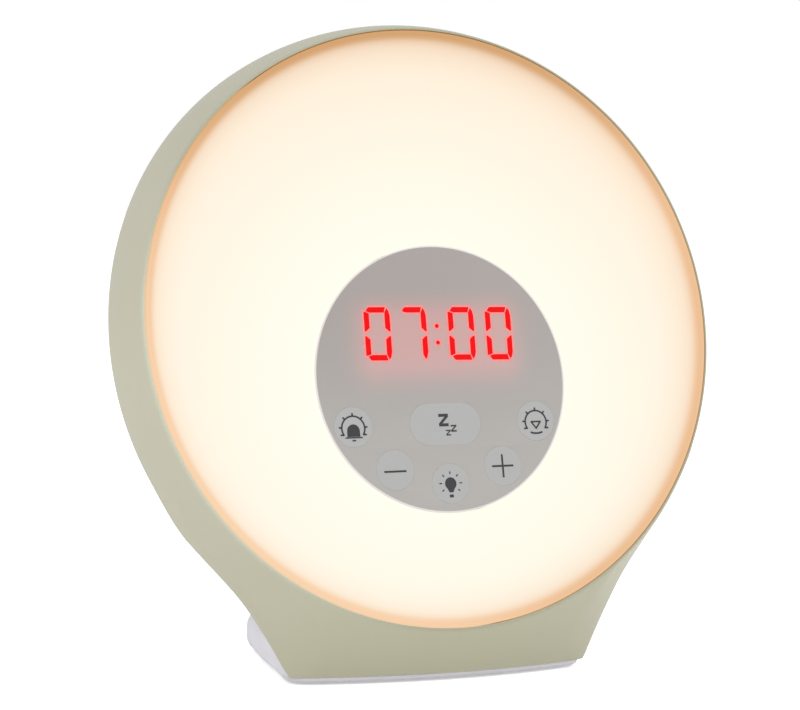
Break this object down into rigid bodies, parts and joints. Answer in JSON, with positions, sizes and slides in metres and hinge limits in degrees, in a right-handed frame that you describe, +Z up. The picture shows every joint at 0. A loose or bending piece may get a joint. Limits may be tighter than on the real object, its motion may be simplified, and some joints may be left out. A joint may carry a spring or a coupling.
{
  "type": "sunrise alarm clock",
  "caption": "Round bedside wake-up light with an opal lit disc, a low-set smoked display with digits and flush keys, leaning back on a flared foot.",
  "frame": {"origin": "middle of the clock's box, on the table under its rubber feet", "axes": "+X to the right of someone who faces the clock, +Y towards its back, +Z up"},
  "size_m": [0.1682, 0.0941, 0.1718],
  "materials": {
    "sage_plastic": "fine satin, sage green",
    "white_plastic": "fine satin, cool white",
    "opal_diffuser": "opal, lit from inside",
    "smoked_lens": "smooth smoked panel",
    "dark_plastic": "moulded",
    "reflector_white": "white, diffuse",
    "led_phosphor": "yellow phosphor",
    "board_green": "solder mask",
    "lit_red": "lit segments",
    "capacitor_sleeve": "shrunk sleeve",
    "steel": "plated",
    "ferrite": "ground ferrite",
    "speaker_paper": "pressed paper",
    "rubber_black": "matt",
    "key_grey": "satin, pale grey",
    "brass_contact": "plated",
    "lead_dark": "sleeve",
    "lead_red": "sleeve",
    "socket_nylon": "natural nylon"
  },
  "bodies": {
    "clock": {"front_housing": "sage_plastic", "rear_cover": "white_plastic", "base_plate": "white_plastic", "diffuser": "opal_diffuser", "display_lens": "smoked_lens", "display_hub": "dark_plastic", "reflector": "reflector_white", "lamp_board": "reflector_white", "lamp_leds": "led_phosphor", "control_board": "board_green", "display_module": "dark_plastic", "digit_segments": "lit_red", "switch_bodies": "dark_plastic", "control_chips": "dark_plastic", "capacitors": "capacitor_sleeve", "speaker_frame": "steel", "speaker_magnet": "ferrite", "speaker_cone": "speaker_paper", "speaker_gasket": "rubber_black", "power_board": "board_green", "inlet_body": "dark_plastic", "inlet_pin": "steel", "cell_holder": "dark_plastic", "coin_cell": "steel", "cell_contacts": "brass_contact", "battery_door": "white_plastic", "door_screw": "steel", "housing_screws": "steel", "base_screws": "steel", "board_screws": "steel", "speaker_screws": "steel", "rubber_feet": "rubber_black", "control_lead": "lead_dark", "lamp_lead": "lead_red", "speaker_lead": "lead_dark", "lead_sockets": "socket_nylon"},
    "alarm_button": {"alarm_key": "key_grey", "alarm_plunger": "dark_plastic"},
    "snooze_button": {"snooze_key": "key_grey", "snooze_plunger": "dark_plastic"},
    "sunset_button": {"sunset_key": "key_grey", "sunset_plunger": "dark_plastic"},
    "minus_button": {"minus_key": "key_grey", "minus_plunger": "dark_plastic"},
    "plus_button": {"plus_key": "key_grey", "plus_plunger": "dark_plastic"},
    "light_button": {"light_key": "key_grey", "light_plunger": "dark_plastic"}
  },
  "joints": [
    {"name": "alarm_press", "type": "slide", "parent": "clock", "child": "alarm_button", "axis": [0, 0.9748, -0.2233], "range_m": [0, 0.0005], "stiffness_N_per_m": 400, "springref_m": -0.001},
    {"name": "snooze_press", "type": "slide", "parent": "clock", "child": "snooze_button", "axis": [0, 0.9748, -0.2233], "range_m": [0, 0.0005], "stiffness_N_per_m": 400, "springref_m": -0.001},
    {"name": "sunset_press", "type": "slide", "parent": "clock", "child": "sunset_button", "axis": [0, 0.9748, -0.2233], "range_m": [0, 0.0005], "stiffness_N_per_m": 400, "springref_m": -0.001},
    {"name": "minus_press", "type": "slide", "parent": "clock", "child": "minus_button", "axis": [0, 0.9748, -0.2233], "range_m": [0, 0.0005], "stiffness_N_per_m": 400, "springref_m": -0.001},
    {"name": "plus_press", "type": "slide", "parent": "clock", "child": "plus_button", "axis": [0, 0.9748, -0.2233], "range_m": [0, 0.0005], "stiffness_N_per_m": 400, "springref_m": -0.001},
    {"name": "light_press", "type": "slide", "parent": "clock", "child": "light_button", "axis": [0, 0.9748, -0.2233], "range_m": [0, 0.0005], "stiffness_N_per_m": 400, "springref_m": -0.001}
  ]
}
